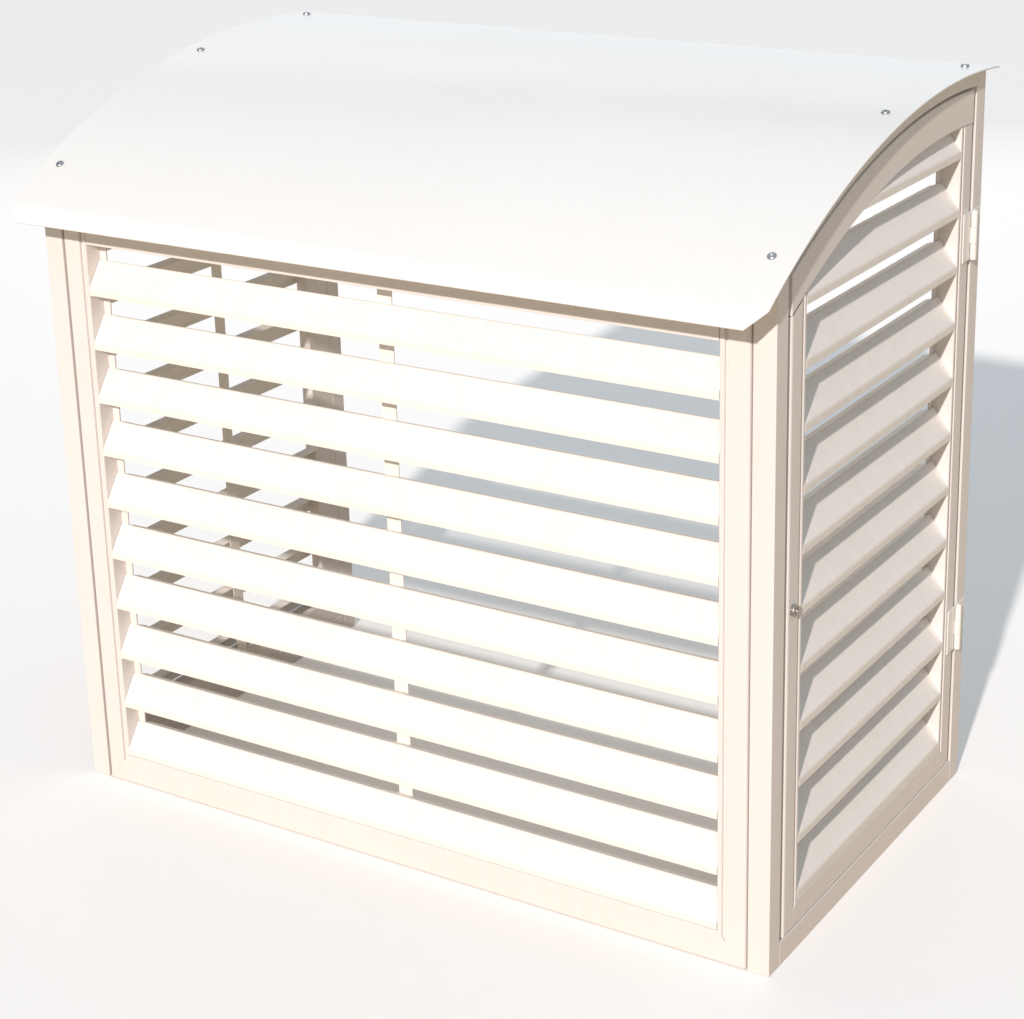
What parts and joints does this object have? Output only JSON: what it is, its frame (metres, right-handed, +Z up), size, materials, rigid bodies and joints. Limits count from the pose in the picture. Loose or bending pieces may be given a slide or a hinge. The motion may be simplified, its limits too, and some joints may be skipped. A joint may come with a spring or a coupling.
{
  "type": "louvred metal air conditioner cover",
  "caption": "Rigid cream metal cabin that covers an outdoor air conditioner: louvred front and sides, curved roof, and a hinged side door with a lock.",
  "frame": {"origin": "on the floor, under the middle of the roof's outline", "axes": "+X to the right along the front, towards the door; +Y to the back, towards the wall; +Z up"},
  "size_m": [1.024, 0.63, 0.938],
  "materials": {
    "paint": "smooth cream powder coat, satin",
    "roof_paint": "smooth cream powder coat, glossier than the frame",
    "lock_steel": "bright plated metal"
  },
  "bodies": {
    "frame": {"arch_left": "paint", "arch_right": "paint", "front_rail_foot": "paint", "front_rail_head": "paint", "front_slat_01": "paint", "front_slat_02": "paint", "front_slat_03": "paint", "front_slat_04": "paint", "front_slat_05": "paint", "front_slat_06": "paint", "front_slat_07": "paint", "front_slat_08": "paint", "front_slat_09": "paint", "front_slat_10": "paint", "front_stile_1": "paint", "front_stile_2": "paint", "front_strip": "paint", "head_rail_front": "paint", "head_rail_rear": "paint", "hinge_lower_frame_leaf": "paint", "hinge_upper_frame_leaf": "paint", "left_rail_foot": "paint", "left_rail_head": "paint", "left_slat_top": "paint", "left_slats": "paint", "left_stile_1": "paint", "left_stile_2": "paint", "post_front_left": "paint", "post_front_right": "paint", "post_rear_left": "paint", "post_rear_right": "paint", "roof": "roof_paint", "sill_left": "paint", "sill_right": "paint"},
    "door": {"door_rail_foot": "paint", "door_rail_head": "paint", "door_slat_01": "paint", "door_slat_02": "paint", "door_slat_03": "paint", "door_slat_04": "paint", "door_slat_05": "paint", "door_slat_06": "paint", "door_slat_07": "paint", "door_slat_08": "paint", "door_slat_09": "paint", "door_slat_10": "paint", "door_slat_11": "paint", "door_slat_12": "paint", "door_stile_1": "paint", "door_stile_2": "paint", "hinge_lower_door_leaf": "paint", "hinge_upper_door_leaf": "paint", "lock_housing": "lock_steel"},
    "lock": {"lock_plug": "lock_steel"}
  },
  "joints": [
    {"name": "door_hinge", "type": "hinge", "parent": "frame", "child": "door", "pos_m": [0.5045, 0.272, 0.48], "axis": [0, 0, 1], "range_deg": [0, 110]},
    {"name": "lock_turn", "type": "hinge", "parent": "door", "child": "lock", "pos_m": [0.4715, -0.21, 0.43], "axis": [1, 0, 0], "range_deg": [0, 90]}
  ]
}
